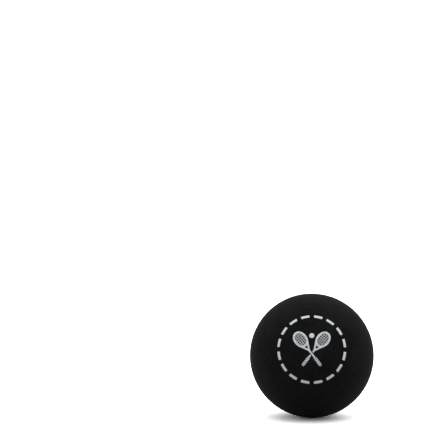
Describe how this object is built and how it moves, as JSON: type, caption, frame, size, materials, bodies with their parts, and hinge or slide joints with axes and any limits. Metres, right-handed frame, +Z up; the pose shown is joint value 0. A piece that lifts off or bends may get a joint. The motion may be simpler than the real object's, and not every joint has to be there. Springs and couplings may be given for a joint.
{
  "type": "squash ball",
  "caption": "Small hollow ball of bonded rubber half shells with a matt black skin, a white printed mark and a coloured speed dot, for playing squash.",
  "frame": {"origin": "centre of the ball", "axes": "+Z up as the ball lies on a floor; the middle of the white print looks along -Y and 13 degrees up; +X is to the right of a viewer who faces the print"},
  "size_m": [0.04, 0.04, 0.04],
  "materials": {
    "black_rubber": "moulded black rubber, buffed to a matt skin",
    "rubber_cement": "cured rubber cement, a little smoother and greyer than the shells",
    "white_ink": "thin matt printing ink over rubber",
    "yellow_ink": "thin matt printing ink over rubber"
  },
  "bodies": {
    "root": {"front_half_shell": "black_rubber", "back_half_shell": "black_rubber", "seam_bond": "rubber_cement", "ring_print": "white_ink", "racket_print": "white_ink", "speed_dot": "yellow_ink"}
  },
  "joints": []
}
